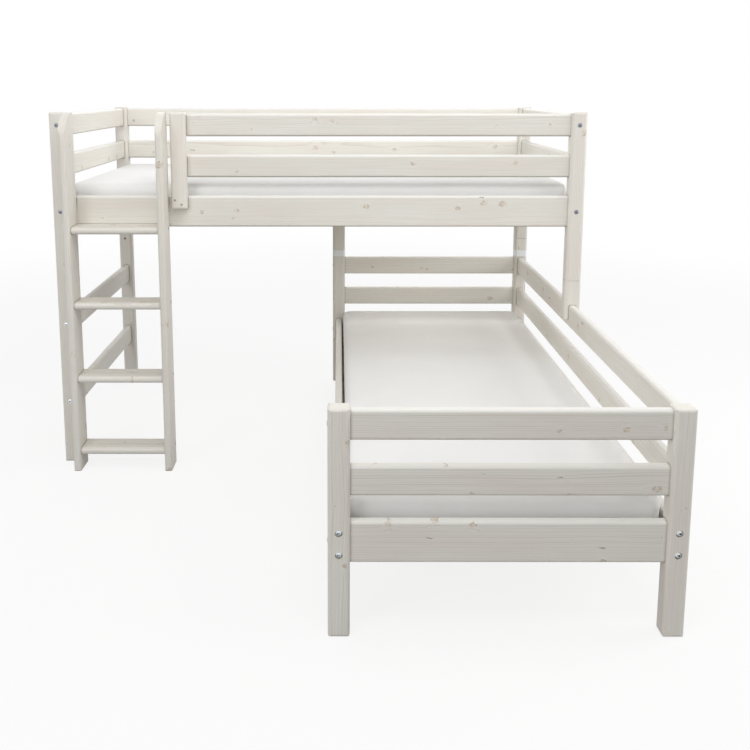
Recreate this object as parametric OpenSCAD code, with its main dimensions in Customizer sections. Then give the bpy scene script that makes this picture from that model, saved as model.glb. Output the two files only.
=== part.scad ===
// L-shaped bunk bed in solid pine: a low single bed along +Y and a mid-high
// bed across its rear half along X, with a vertical ladder at the high bed's
// front left corner. Millimetres, +Z up, -Y is the front. The origin is on the
// floor below the middle of the outline.

/* [Beds] */
// Outer width of the low bed, along X
low_w = 1000; // [800:10:1300]
// Outer length of the low bed, along Y
low_l = 2100; // [1900:10:2300]
// Height of the low bed's posts
low_h = 670; // [640:5:720]
// Outer width of the high bed, along Y
high_w = 1000; // [800:10:1200]
// Outer length of the high bed, along X
high_l = 2100; // [1900:10:2300]
// How far the high bed's sleeping level stands above the low bed's
raise = 764; // [740:2:860]

/* [Posts] */
// Post width, along X
post_w = 62; // [56:1:80]
// Post depth, along Y
post_d = 54; // [50:1:80]
// Rounding of the four long edges of a post
post_r = 12; // [3:0.5:12.5]
// Rounding round the free ends of the posts
post_end_r = 8; // [2:0.5:10]
// Rounding round the ends where one post stands on another
joint_r = 2; // [0.5:0.5:4]

/* [Boards] */
// Thickness of every slat, rail and gable board
board_t = 28; // [24:1:32]
// Height of a slat
slat_h = 88; // [76:1:100]
// Height of a side rail and of the boards at mattress level
rail_h = 124; // [112:1:140]
// Rounding of the long edges of the boards
board_r = 9; // [3:0.5:11]
// From the top of the posts down to the top slat
top_drop = 6; // [2:1:20]
// From the top slat down to the slat below it
slat_pitch = 161; // [145:1:175]
// Height of the side rails' lower edge above the floor, low bed
rail_z = 217; // [180:1:230]
// Lower edge of the left gable's upper brace
brace_high_z = 539; // [450:1:640]
// Lower edge of the left gable's lower brace
brace_low_z = 216; // [120:1:300]

/* [Between the beds] */
// Height of the plastic connectors on the low bed's rear posts
connector_h = 34; // [20:1:44]
// How far the saddle leg's two cheeks reach down beside the top back rail
cheek_h = 58; // [30:1:75]
// How far the middle leg's rear cheek laps up the rear side rail
lap_h = 84; // [50:1:100]
// Diameter of the steel pins that line up the stacked posts
pin_d = 12; // [8:0.5:16]
// How far a pin reaches into each post
pin_grip = 32; // [20:1:60]

/* [Guard] */
// Width of the stile that carries the front guard slats
stile_w = 62; // [50:1:80]
// Gap between the ladder and the stile
stile_gap = 14; // [6:1:40]
// How far the stile laps down the side rail
stile_lap = 50; // [46:1:90]

/* [Ladder] */
// Overall width of the ladder
ladder_w = 394; // [360:2:460]
// Gap between the left front post and the ladder
ladder_gap = 3; // [1:1:20]
// Thickness of the two stringers
stringer_t = 28; // [24:1:36]
// Depth of the stringers, front to back
stringer_d = 104; // [90:1:120]
// Radius of the stringers' front top corner
stringer_top_r = 92; // [40:1:92]
// Thickness of a step
step_t = 28; // [22:1:34]
// Top of the lowest step above the floor
step_first_z = 93; // [60:1:140]
// Rise from step to step
step_rise = 300; // [260:1:305]
// How far the steps' noses lie behind the stringers' front edges
step_setback = 10; // [2:1:20]

/* [Mattress and base] */
// Mattress thickness at its border
mattress_t = 125; // [90:1:160]
// Free gap from the mattress to the boards along X
mattress_gap_x = 5; // [2:0.5:12]
// Free gap from the mattress to the boards along Y
mattress_gap_y = 9; // [2:0.5:14]
// Corner radius of the mattress, seen from above
mattress_r = 45; // [40:1:90]
// How far the middle of the mattress stands above its border
crown = 9; // [2:1:20]
// Width of a base slat
base_slat_w = 70; // [50:1:90]
// Thickness of a base slat
base_slat_t = 16; // [12:1:20]
// Wanted spacing of the base slats
base_pitch = 140; // [110:5:180]
// Width of the cleats that carry the base slats
cleat_w = 22; // [18:1:30]
// Height of the cleats
cleat_h = 24; // [18:1:30]
// Cleats' lower edge above the rails' lower edge
cleat_up = 6; // [2:1:12]

/* [Fasteners] */
// Diameter of the bed bolts
bolt_d = 8; // [6:0.5:9]
// Diameter of the bolts' heads
head_d = 17; // [14:0.5:19]
// Height of the bolts' heads
head_h = 5; // [3:0.5:7]
// How far the gable bolts' heads stand out of the posts
head_proud = 2.5; // [1:0.5:3]
// Spacing of the two bolts at each end of a side rail
rail_bolt_pitch = 65; // [50:1:72]
// Diameter of the barrel nuts
nut_d = 12; // [11:0.5:14]
// Length of the barrel nuts
nut_l = 20; // [16:1:20]
// From a board's end to its barrel nut
nut_in = 32; // [26:1:40]
// Diameter of the wooden dowels
dowel_d = 10; // [8:0.5:10]
// How far a dowel reaches into a post
dowel_post = 18; // [12:1:18]
// How far a dowel reaches into a board
dowel_board = 22; // [14:1:23]
// Diameter of the wood screws
screw_d = 4.5; // [3.5:0.5:5]
// Diameter of the wood screws' heads
screw_head_d = 9; // [7:0.5:10]
// Diameter of the screws that hold the steps
step_screw_d = 7; // [5:0.5:8]
// Diameter of those screws' heads
step_head_d = 15; // [10:0.5:17]
// Clearance round a bolt, pin or dowel in its hole
fit = 0.2; // [0.1:0.05:0.4]

/* [Hidden] */

$fn = 48;
eps = 0.01;
wood = [0.87, 0.85, 0.80];
wood_shade = [0.80, 0.78, 0.73];
steel = [0.70, 0.72, 0.74];
plastic = [0.84, 0.86, 0.88];
cloth = [0.95, 0.95, 0.95];

// Outer faces of the two beds: they share their right and rear faces.
right_x = high_l / 2;
rear_y = low_l / 2;
low_x = right_x - low_w;
low_y = -low_l / 2;
high_x = -high_l / 2;
high_y = rear_y - high_w;
high_h = low_h + raise;

// Inner faces of the posts, and the boards' planes, which run down the middle of the posts.
side_x = (post_w - board_t) / 2;
side_y = (post_d - board_t) / 2;
low_in_x = [low_x + side_x + board_t, right_x - side_x - board_t];
low_in_y = [low_y + side_y + board_t, rear_y - side_y - board_t];
high_in_x = [high_x + side_x + board_t, right_x - side_x - board_t];
high_in_y = [high_y + side_y + board_t, rear_y - side_y - board_t];

// Lower edges of the boards.
top_slat_z = low_h - top_drop - slat_h;
middle_slat_z = top_slat_z - slat_pitch;
high_top_z = top_slat_z + raise;
high_middle_z = middle_slat_z + raise;
high_rail_z = rail_z + raise;

// Posts by corner: [x, y, foot, height, rounding of the foot, rounding of the top].
low_foot_left = [low_x, low_y, 0, low_h, post_end_r, post_end_r];
low_foot_right = [right_x - post_w, low_y, 0, low_h, post_end_r, post_end_r];
low_head_left = [low_x, rear_y - post_d, 0, low_h, post_end_r, joint_r];
low_head_right = [right_x - post_w, rear_y - post_d, 0, low_h, post_end_r, joint_r];
high_left_front = [high_x, high_y, 0, high_h, post_end_r, post_end_r];
high_left_rear = [high_x, rear_y - post_d, 0, high_h, post_end_r, post_end_r];
high_right_front = [right_x - post_w, high_y, raise, low_h, joint_r, post_end_r];
high_right_rear = [right_x - post_w, rear_y - post_d, raise, low_h, joint_r, post_end_r];

// Ladder and guard.
ladder_x = [high_x + post_w + ladder_gap, high_x + post_w + ladder_gap + ladder_w];
ladder_back = high_y + side_y;
ladder_front = ladder_back - stringer_d;
steps = 4;
stringer_r = 9;
stringer_corner_r = 6;
step_nose_r = 13;
step_y = ladder_front + step_setback;
groove_d = 3;
groove_first = 22;
groove_pitch = 14;
step_screw_in = 80;
step_dowel_in = 34;
step_dowel_l = 36;
step_dowel_stringer = 16;
mount_screw_z = high_rail_z + rail_h / 2;
relief_drop = 12;
relief_top = high_rail_z + rail_h - relief_drop;
relief_d = 18;
relief_h = 96;
relief_tail = 6;
stile_x = ladder_x[1] + stile_gap;
stile_t = board_t;
stile_bottom = high_rail_z + rail_h - stile_lap;
guard_inset = 4;
guard_start = stile_x + guard_inset;
guard_bolt_drop = 17;

// Bases and mattresses.
base_z = cleat_up + cleat_h + base_slat_t;
cleat_in = 60;
rest_gap = 0.3;
slat_end_gap = 4;
first_slat_gap = 6;

// Directions: [unit vector, rotation that turns +Z into it].
TO_RIGHT = [[1, 0, 0], [0, 90, 0]];
TO_LEFT = [[-1, 0, 0], [0, -90, 0]];
TO_REAR = [[0, 1, 0], [-90, 0, 0]];
TO_FRONT = [[0, -1, 0], [90, 0, 0]];
DOWN = [[0, 0, -1], [180, 0, 0]];

// Bolts: [point on the post's outer face, direction in, post thickness, direction of the nut's open side].
low_gable_bolts = [for (g = [low_y + post_d / 2, rear_y - post_d / 2])
    for (z = [top_slat_z + slat_h / 2, rail_z + rail_h / 2])
    for (s = [[low_x, TO_RIGHT], [right_x, TO_LEFT]]) [[s[0], g, z], s[1], post_w, TO_REAR]];
left_gable_bolts = [for (z = [high_top_z + slat_h / 2, high_rail_z + rail_h / 2,
        brace_high_z + slat_h / 2, brace_low_z + slat_h / 2])
    for (s = [[high_y, TO_REAR], [rear_y, TO_FRONT]])
        [[high_x + post_w / 2, s[0], z], s[1], post_d, TO_LEFT]];
right_gable_bolts = [for (z = [high_top_z + slat_h / 2, high_rail_z + rail_h / 2])
    for (s = [[high_y, TO_REAR], [rear_y, TO_FRONT]])
        [[right_x - post_w / 2, s[0], z], s[1], post_d, TO_RIGHT]];
rail_bolt_zs = [rail_h / 2 - rail_bolt_pitch / 2, rail_h / 2 + rail_bolt_pitch / 2];
low_rail_bolts = [for (z = rail_bolt_zs)
    for (x = [[low_x + post_w / 2, TO_RIGHT], [right_x - post_w / 2, TO_LEFT]])
    for (s = [[low_y, TO_REAR], [rear_y, TO_FRONT]]) [[x[0], s[0], rail_z + z], s[1], post_d, x[1]]];
high_rail_bolts = [for (z = rail_bolt_zs)
    for (y = [[high_y + post_d / 2, TO_REAR], [rear_y - post_d / 2, TO_FRONT]])
    for (s = [[high_x, TO_RIGHT], [right_x, TO_LEFT]]) [[s[0], y[0], high_rail_z + z], s[1], post_w, y[1]]];
guard_bolt_z = high_top_z + slat_h / 2 - guard_bolt_drop;
guard_bolts = [[[right_x, high_y + post_d / 2, guard_bolt_z], TO_LEFT, post_w, TO_REAR],
    [[high_x, rear_y - post_d / 2, guard_bolt_z], TO_RIGHT, post_w, TO_FRONT],
    [[right_x, rear_y - post_d / 2, guard_bolt_z], TO_LEFT, post_w, TO_FRONT]];
PROUD_BOLTS = concat(low_gable_bolts, left_gable_bolts, right_gable_bolts);
SUNK_BOLTS = concat(low_rail_bolts, high_rail_bolts, guard_bolts);
sink_round = 4;
sink_under = 3;
sink_d = head_d + sink_round;
sink_depth = head_h + sink_under;
bolt_tail = 4;

// Dowels: [point on the joint's face, direction into the board].
slat_dowel_off = 26;
rail_dowel_off = 39;
slat_dowels = [slat_h / 2 - slat_dowel_off, slat_h / 2 + slat_dowel_off];
rail_dowels = [rail_h / 2 - rail_dowel_off, rail_h / 2 + rail_dowel_off];
function at(z, list) = [for (d = list) z + d];
low_dowel_zs = concat(at(top_slat_z, slat_dowels), at(middle_slat_z, slat_dowels), at(rail_z, rail_dowels));
high_dowel_zs = concat(at(high_top_z, slat_dowels), at(high_middle_z, slat_dowels),
    at(high_rail_z, rail_dowels));
brace_dowel_zs = concat(at(brace_high_z, slat_dowels), at(brace_low_z, slat_dowels));
back_dowel_zs = concat(at(top_slat_z, slat_dowels), at(middle_slat_z, slat_dowels));
guard_dowel_up = 20;
guard_dowel_z = high_top_z + slat_h / 2 + guard_dowel_up;
guard_dowel_zs = concat([guard_dowel_z], at(high_middle_z, slat_dowels));
DOWELS = concat(
    [for (g = [low_y + post_d / 2, rear_y - post_d / 2]) for (z = low_dowel_zs)
        for (s = [[low_x + post_w, TO_RIGHT], [right_x - post_w, TO_LEFT]]) [[s[0], g, z], s[1]]],
    [for (z = concat(high_dowel_zs, brace_dowel_zs))
        for (s = [[high_y + post_d, TO_REAR], [rear_y - post_d, TO_FRONT]])
            [[high_x + post_w / 2, s[0], z], s[1]]],
    [for (z = high_dowel_zs)
        for (s = [[high_y + post_d, TO_REAR], [rear_y - post_d, TO_FRONT]])
            [[right_x - post_w / 2, s[0], z], s[1]]],
    [for (z = back_dowel_zs)
        for (s = [[low_y + post_d, TO_REAR], [rear_y - post_d, TO_FRONT]])
            [[right_x - post_w / 2, s[0], z], s[1]]],
    [for (z = guard_dowel_zs) [[right_x - post_w, high_y + post_d / 2, z], TO_LEFT]],
    [for (z = guard_dowel_zs) for (s = [[high_x + post_w, TO_RIGHT], [right_x - post_w, TO_LEFT]])
        [[s[0], rear_y - post_d / 2, z], s[1]]]);

// Pins between stacked posts: [x, y, lower end, upper end].
leg_top_z = raise;
connector_top = low_h + connector_h;
PINS = [[right_x - post_w / 2, rear_y - post_d / 2, low_h - pin_grip, raise + pin_grip],
    [low_x + post_w / 2, rear_y - post_d / 2, low_h - pin_grip, connector_top + pin_grip],
    [right_x - post_w / 2, high_y + post_d / 2, raise - pin_grip, raise + pin_grip]];

// Screws that hold the steps: [x, step, direction in].
function step_z(i) = step_first_z + (i - 1) * step_rise;
STEP_ENDS = [for (i = [1:steps]) for (s = [[ladder_x[0], TO_RIGHT], [ladder_x[1], TO_LEFT]]) [s[0], i, s[1]]];
step_screw_grip = 34;
step_screw_l = stringer_t + step_screw_grip;
step_key = 6;
bolt_key = 7;
head_dome = 0.4;
key_share = 0.6;
step_head_h = 4;
step_sink = 4;

// The smallest X or Y of each run of boards, which are centred on the posts.
foot_y = low_y + side_y;
head_y = rear_y - side_y - board_t;
left_gable_x = high_x + side_x;
right_rail_x = right_x - side_x - board_t;
left_rail_x = low_x + side_x;
front_rail_y = high_y + side_y;

// Screws of the stile: two from the front into the side rail, and two from
// behind through each guard slat.
stile_screw_grip = 18;
stile_screw_l = stile_t + stile_screw_grip;
stile_edge = 14;
stile_low_in = 22;
stile_low_drop = 31;
stile_sink = 4;
STILE_SCREWS = concat(
    [for (s = [[stile_edge, stile_edge], [stile_w - stile_low_in, stile_low_drop]])
        [[stile_x + s[0], front_rail_y - stile_t, high_rail_z + rail_h - s[1]], TO_REAR]],
    [for (z = [high_top_z, high_middle_z])
        for (s = [[stile_edge, slat_h - stile_edge], [stile_w - stile_edge, stile_edge]])
            [[stile_x + s[0], front_rail_y + board_t, z + s[1]], TO_FRONT]]);

// Wood screws: how far the head lies below the surface, and the driver's recess.
screw_sink = 1.1;
screw_key_d = 3;
screw_key_l = 1.4;

// ---------------------------------------------------------------- profiles

module rounded(size, r) {
    translate([r, 0]) square([size[0] - 2 * r, size[1]]);
    translate([0, r]) square([size[0], size[1] - 2 * r]);
    for (x = [r, size[0] - r], y = [r, size[1] - r]) translate([x, y]) circle(r);
}

// An upright outline, w by h, with corners of radius a at its foot and b at its top.
module ended(w, h, a, b) {
    translate([0, a]) square([w, h - a - b]);
    translate([a, 0]) square([w - 2 * a, h / 2]);
    translate([b, h / 2]) square([w - 2 * b, h / 2]);
    for (x = [a, w - a]) translate([x, a]) circle(a);
    for (x = [b, w - b]) translate([x, h - b]) circle(b);
}

// A bar along Z with rounded long edges and ends rounded all the way round.
module bar(size, r, foot_r, top_r) {
    intersection() {
        linear_extrude(size[2]) rounded([size[0], size[1]], r);
        translate([0, size[1] + 1, 0]) rotate([90, 0, 0]) linear_extrude(size[1] + 2)
            ended(size[0], size[2], foot_r, top_r);
        translate([-1, 0, 0]) rotate([90, 0, 90]) linear_extrude(size[0] + 2)
            ended(size[1], size[2], foot_r, top_r);
    }
}

module board_along_x(x0, x1, y, z, h) {
    translate([x0, y, z]) rotate([90, 0, 90]) linear_extrude(x1 - x0) rounded([board_t, h], board_r);
}

module board_along_y(y0, y1, x, z, h) {
    translate([x, y1, z]) rotate([90, 0, 0]) linear_extrude(y1 - y0) rounded([board_t, h], board_r);
}

module rod(p, dir, d, l) {
    translate(p) rotate(dir[1]) cylinder(d = d, h = l);
}

// ---------------------------------------------------------------- holes

// Tells whether point p lies in the box that runs from a to b, grown by m.
function inside(p, a, b, m) = min([for (i = [0:2]) min(p[i] - a[i], b[i] - p[i])]) > -m;

// The bore of one bolt from the post's outer face to past its barrel nut.
module bolt_bore(b, sunk) {
    rod(b[0] - b[1][0], b[1], bolt_d + 2 * fit, b[2] + nut_in + nut_d + 1);
    if (sunk) rod(b[0] - b[1][0], b[1], sink_d, sink_depth + 1);
    else rod(b[0] - b[1][0], b[1], head_d + 1, head_h - head_proud + 1);
}

// The blind hole of one barrel nut, drilled from the board's open side.
module nut_bore(b) {
    rod(nut_at(b), b[3], nut_d + 2 * fit, board_t + nut_d);
}

// The closed end of a bolt's barrel nut.
function nut_at(b) = b[0] + (b[2] + nut_in) * b[1][0] - (nut_l - board_t / 2 + 1) * b[3][0];

module dowel_bore(d) {
    rod(d[0] - (dowel_post + 0.5) * d[1][0], d[1], dowel_d + fit, dowel_post + dowel_board + 1);
}

// Cuts from its child every bolt, nut and dowel hole that starts in the box a to b.
module drilled(a, b) {
    difference() {
        children();
        for (j = SUNK_BOLTS) if (inside(j[0], a, b, 1)) bolt_bore(j, true);
        for (j = PROUD_BOLTS) if (inside(j[0], a, b, 1)) bolt_bore(j, false);
        for (j = concat(SUNK_BOLTS, PROUD_BOLTS)) if (inside(j[0] + (j[2] + nut_in) * j[1][0], a, b, 0)) {
            bolt_bore(j, false);
            nut_bore(j);
        }
        for (d = DOWELS) if (inside(d[0], a, b, 1)) dowel_bore(d);
    }
}

// ---------------------------------------------------------------- posts

module pin_bores() {
    for (p = PINS) translate([p[0], p[1], p[2] - 0.5]) cylinder(d = pin_d + 2 * fit, h = p[3] - p[2] + 1);
}

module post(p) {
    color(wood) drilled([p[0], p[1], p[2]], [p[0] + post_w, p[1] + post_d, p[2] + p[3]])
        translate([p[0], p[1], p[2]]) bar([post_w, post_d, p[3]], post_r, p[4], p[5]);
}

module pinned_post(p) {
    color(wood) difference() {
        post(p);
        pin_bores();
    }
}

// ---------------------------------------------------------------- boards

module gable_board_x(y, x0, z, h) {
    a = [x0 + post_w, y, z];
    b = [x0 + low_w - post_w, y + board_t, z + h];
    color(wood) drilled(a, b) board_along_x(a[0], b[0], y, z, h);
}

module gable_board_y(x, z, h) {
    a = [x, high_y + post_d, z];
    b = [x + board_t, rear_y - post_d, z + h];
    color(wood) drilled(a, b) board_along_y(a[1], b[1], x, z, h);
}

module low_rail(x, z, h) {
    a = [x, low_y + post_d, z];
    b = [x + board_t, rear_y - post_d, z + h];
    color(wood) drilled(a, b) board_along_y(a[1], b[1], x, z, h);
}

module high_rail(y, x0, z, h) {
    a = [x0, y, z];
    b = [right_x - post_w, y + board_t, z + h];
    color(wood) drilled(a, b) board_along_x(a[0], b[0], y, z, h);
}

module low_foot_left_post() { post(low_foot_left); }
module low_foot_right_post() { post(low_foot_right); }
module low_head_left_post() { pinned_post(low_head_left); }
module low_head_right_post() { pinned_post(low_head_right); }
module low_foot_top_slat() { gable_board_x(foot_y, low_x, top_slat_z, slat_h); }
module low_foot_middle_slat() { gable_board_x(foot_y, low_x, middle_slat_z, slat_h); }
module low_foot_board() { gable_board_x(foot_y, low_x, rail_z, rail_h); }
module low_head_top_slat() { gable_board_x(head_y, low_x, top_slat_z, slat_h); }
module low_head_middle_slat() { gable_board_x(head_y, low_x, middle_slat_z, slat_h); }
module low_head_board() { gable_board_x(head_y, low_x, rail_z, rail_h); }
module low_back_top_rail() { low_rail(right_rail_x, top_slat_z, slat_h); }
module low_back_middle_rail() { low_rail(right_rail_x, middle_slat_z, slat_h); }

// A hole for accessories, on the inner face of each full-height post.
accessory_d = 10;
accessory_depth = 20;
accessory_z = raise;

module high_left_front_post() {
    color(wood) difference() {
        post(high_left_front);
        rod([high_x + post_w / 2, high_y + post_d + 1, accessory_z], TO_FRONT,
            accessory_d, accessory_depth + 1);
    }
}

module high_left_rear_post() {
    color(wood) difference() {
        post(high_left_rear);
        rod([high_x + post_w / 2, rear_y - post_d - 1, accessory_z], TO_REAR,
            accessory_d, accessory_depth + 1);
    }
}

module high_right_front_post() { pinned_post(high_right_front); }
module high_right_rear_post() { pinned_post(high_right_rear); }
module high_left_top_slat() { gable_board_y(left_gable_x, high_top_z, slat_h); }
module high_left_middle_slat() { gable_board_y(left_gable_x, high_middle_z, slat_h); }
module high_left_board() { gable_board_y(left_gable_x, high_rail_z, rail_h); }
module high_left_upper_brace() { gable_board_y(left_gable_x, brace_high_z, slat_h); }
module high_left_lower_brace() { gable_board_y(left_gable_x, brace_low_z, slat_h); }
module high_right_top_slat() { gable_board_y(right_rail_x, high_top_z, slat_h); }
module high_right_middle_slat() { gable_board_y(right_rail_x, high_middle_z, slat_h); }
module high_right_board() { gable_board_y(right_rail_x, high_rail_z, rail_h); }

// ---------------------------------------------------------------- guard

module guard_front_top_slat() { guard_slat(high_top_z); }
module guard_front_lower_slat() { guard_slat(high_middle_z); }

module guard_slat(z) {
    difference() {
        high_rail(front_rail_y, guard_start, z, slat_h);
        stile_screw_bores();
    }
}

module guard_rear_top_slat() { high_rail(head_y, high_x + post_w, high_top_z, slat_h); }
module guard_rear_lower_slat() { high_rail(head_y, high_x + post_w, high_middle_z, slat_h); }

module guard_stile() {
    color(wood) difference() {
        translate([stile_x, front_rail_y - stile_t, stile_bottom])
            bar([stile_w, stile_t, high_h - stile_bottom], board_r, board_r, board_r);
        stile_screw_bores();
    }
}

module stile_screw_bores() {
    for (s = STILE_SCREWS) screw_bore(s[0], s[1], stile_screw_l, stile_sink);
}

// The bore of a wood screw of length l whose head lies sink deep.
module screw_bore(p, dir, l, sink) {
    cone = (screw_head_d - screw_d) / 2;
    rod(p - dir[0], dir, screw_head_d + 2 * fit, sink + 1 + fit / 2);
    translate(p + (sink + fit / 2 - eps) * dir[0]) rotate(dir[1])
        cylinder(d1 = screw_head_d + 2 * fit, d2 = screw_d + 2 * fit, h = cone);
    rod(p, dir, screw_d + 2 * fit, l + 0.5);
}

// A countersunk wood screw, its head sink below the surface.
module screw(p, dir, l, sink) {
    cone = (screw_head_d - screw_d) / 2;
    translate(p + sink * dir[0]) rotate(dir[1]) difference() {
        union() {
            cylinder(d1 = screw_head_d, d2 = screw_d, h = cone);
            translate([0, 0, cone - eps]) cylinder(d = screw_d, h = l - sink - cone + eps);
        }
        translate([0, 0, -1]) cylinder(d = screw_key_d, h = 1 + screw_key_l, $fn = 6);
    }
}

// ---------------------------------------------------------------- rails, cleats and bases

module low_left_side_rail() { low_rail(left_rail_x, rail_z, rail_h); }
module low_right_side_rail() { low_rail(right_rail_x, rail_z, rail_h); }

module high_front_side_rail() {
    difference() {
        high_rail(front_rail_y, high_x + post_w, high_rail_z, rail_h);
        stile_screw_bores();
        mount_screw_bores();
    }
}

module high_rear_side_rail() {
    difference() {
        high_rail(head_y, high_x + post_w, high_rail_z, rail_h);
        lap_screw_bores();
    }
}

// Base slats: centres along a length from p to q, equally spaced.
function slat_places(p, q) =
    let (n = floor((q - p - base_slat_w) / base_pitch), step = (q - p - base_slat_w) / n)
    [for (i = [0:n]) p + base_slat_w / 2 + i * step];
low_slat_ys = slat_places(low_y + post_d + first_slat_gap, rear_y - post_d - first_slat_gap);
high_slat_xs = slat_places(high_x + post_w + first_slat_gap, right_x - post_w - first_slat_gap);
screw_cover = 4;
base_screw_l = base_slat_t + cleat_h - screw_cover;

// Screws down through the slat ends: [x, y, z of the slat's top].
LOW_BASE_SCREWS = [for (y = low_slat_ys) for (x = [low_in_x[0] + cleat_w / 2, low_in_x[1] - cleat_w / 2])
    [x, y, rail_z + base_z]];
HIGH_BASE_SCREWS = [for (x = high_slat_xs) for (y = [high_in_y[0] + cleat_w / 2, high_in_y[1] - cleat_w / 2])
    [x, y, high_rail_z + base_z]];

module base_screw_bore(p) { screw_bore(p, DOWN, base_screw_l, screw_sink); }

module low_cleat(x) {
    color(wood_shade) difference() {
        translate([x, low_y + post_d + cleat_in, rail_z + cleat_up])
            cube([cleat_w, low_l - 2 * (post_d + cleat_in), cleat_h]);
        for (p = LOW_BASE_SCREWS) if (abs(p[0] - x - cleat_w / 2) < 1) base_screw_bore(p);
    }
}

module high_cleat(y) {
    color(wood_shade) difference() {
        translate([high_x + post_w + cleat_in, y, high_rail_z + cleat_up])
            cube([high_l - 2 * (post_w + cleat_in), cleat_w, cleat_h]);
        for (p = HIGH_BASE_SCREWS) if (abs(p[1] - y - cleat_w / 2) < 1) base_screw_bore(p);
    }
}

module low_left_cleat() { low_cleat(low_in_x[0]); }
module low_right_cleat() { low_cleat(low_in_x[1] - cleat_w); }
module high_front_cleat() { high_cleat(high_in_y[0]); }
module high_rear_cleat() { high_cleat(high_in_y[1] - cleat_w); }

module low_base_slats() {
    color(wood_shade) for (i = [0:len(low_slat_ys) - 1]) difference() {
        translate([low_in_x[0] + slat_end_gap, low_slat_ys[i] - base_slat_w / 2, rail_z + cleat_up + cleat_h])
            cube([low_in_x[1] - low_in_x[0] - 2 * slat_end_gap, base_slat_w, base_slat_t]);
        for (k = [0, 1]) base_screw_bore(LOW_BASE_SCREWS[2 * i + k]);
    }
}

module high_base_slats() {
    color(wood_shade) for (i = [0:len(high_slat_xs) - 1]) difference() {
        translate([high_slat_xs[i] - base_slat_w / 2, high_in_y[0] + slat_end_gap,
            high_rail_z + cleat_up + cleat_h])
            cube([base_slat_w, high_in_y[1] - high_in_y[0] - 2 * slat_end_gap, base_slat_t]);
        for (k = [0, 1]) base_screw_bore(HIGH_BASE_SCREWS[2 * i + k]);
    }
}

// ---------------------------------------------------------------- mattresses

mattress_n = 7;
edge_in = 16;
edge_up = 13;
side_in = 5;
inner_r = 14;
crown_in = [70, 170, 300];
function arc(cx, cy, r, a) = [for (i = [0:mattress_n])
    [cx + r * cos(a + 90 * i / mattress_n), cy + r * sin(a + 90 * i / mattress_n)]];
function outline(x, y, r) = concat(arc(x[1] - r, y[1] - r, r, 0), arc(x[0] + r, y[1] - r, r, 90),
    arc(x[0] + r, y[0] + r, r, 180), arc(x[1] - r, y[0] + r, r, 270));
function ring(x, y, s) = [for (p = outline([x[0] + s[0], x[1] - s[0]], [y[0] + s[0], y[1] - s[0]],
    max(mattress_r - s[0], inner_r))) [p[0], p[1], s[1]]];

// Rings from the bottom up, as [inset, height]: a rolled edge, a side drawn in
// between two full borders, a second rolled edge, and a crowned top.
function mattress_rings(z) = [[edge_in, z], [0.3 * edge_in, z + 0.25 * edge_up], [0, z + edge_up],
    [0.8 * side_in, z + 0.32 * mattress_t], [side_in, z + 0.5 * mattress_t],
    [0.8 * side_in, z + 0.68 * mattress_t], [0, z + mattress_t - edge_up],
    [0.3 * edge_in, z + mattress_t - 0.25 * edge_up], [edge_in, z + mattress_t],
    [crown_in[0], z + mattress_t + 0.5 * crown], [crown_in[1], z + mattress_t + 0.85 * crown],
    [crown_in[2], z + mattress_t + crown]];

module mattress(in_x, in_y, z) {
    x = [in_x[0] + mattress_gap_x, in_x[1] - mattress_gap_x];
    y = [in_y[0] + mattress_gap_y, in_y[1] - mattress_gap_y];
    rings = mattress_rings(z + rest_gap);
    n = 4 * (mattress_n + 1);
    m = len(rings);
    mid = [(x[0] + x[1]) / 2, (y[0] + y[1]) / 2];
    points = concat([for (s = rings) each ring(x, y, s)],
        [[mid[0], mid[1], rings[0][1]], [mid[0], mid[1], rings[m - 1][1]]]);
    sides = [for (k = [0:m - 2]) for (i = [0:n - 1]) let (a = k * n + i, b = k * n + (i + 1) % n)
        each [[a, a + n, b], [b, a + n, b + n]]];
    bottom = [for (i = [0:n - 1]) [i, (i + 1) % n, n * m]];
    top = [for (i = [0:n - 1]) [(m - 1) * n + (i + 1) % n, (m - 1) * n + i, n * m + 1]];
    color(cloth) polyhedron(points, concat(sides, bottom, top));
}

module low_mattress() { mattress(low_in_x, low_in_y, rail_z + base_z); }
module high_mattress() { mattress(high_in_x, high_in_y, high_rail_z + base_z); }

// ---------------------------------------------------------------- between the beds

module leg_bar(x, y, z0, z1, foot_r, top_r) {
    translate([x, y, z0]) bar([post_w, post_d, z1 - z0], post_r, foot_r, top_r);
}

// Carries the high bed's front right corner on the low bed's top back rail:
// two cheeks straddle the rail and the roof between them rests on it.
module saddle_leg() {
    roof = top_slat_z + slat_h;
    cheek_r = 4;
    slot_w = board_t + 2 * rest_gap;
    color(wood) difference() {
        leg_bar(right_x - post_w, high_y, roof - cheek_h, leg_top_z, cheek_r, joint_r);
        translate([right_rail_x - rest_gap, high_y - 1, roof - cheek_h - 1])
            cube([slot_w, post_d + 2, cheek_h + 1]);
        pin_bores();
    }
}

module rear_right_extension() {
    color(wood) difference() {
        leg_bar(right_x - post_w, rear_y - post_d, connector_top, leg_top_z, joint_r, joint_r);
        pin_bores();
    }
}

// Stands on the low bed's rear left post. Its front half ends under the rear
// side rail and its rear cheek laps up behind the rail, screwed from behind.
module rear_middle_leg() {
    y0 = rear_y - post_d;
    color(wood) difference() {
        leg_bar(low_x, y0, connector_top, high_rail_z + lap_h, joint_r, post_end_r);
        translate([low_x - 1, y0 - 1, high_rail_z])
            cube([post_w + 2, side_y + board_t + 1 + rest_gap, lap_h + 1]);
        pin_bores();
        lap_screw_bores();
    }
}

lap_screw_l = side_y + board_t - 2 * screw_cover;
lap_screw_off = 14;
LAP_SCREWS = [for (k = [[-lap_screw_off, 0.3], [lap_screw_off, 0.72]])
    [low_x + post_w / 2 + k[0], rear_y, high_rail_z + k[1] * lap_h]];
module lap_screw_bores() {
    for (p = LAP_SCREWS) screw_bore(p, TO_FRONT, lap_screw_l, screw_sink);
}

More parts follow.
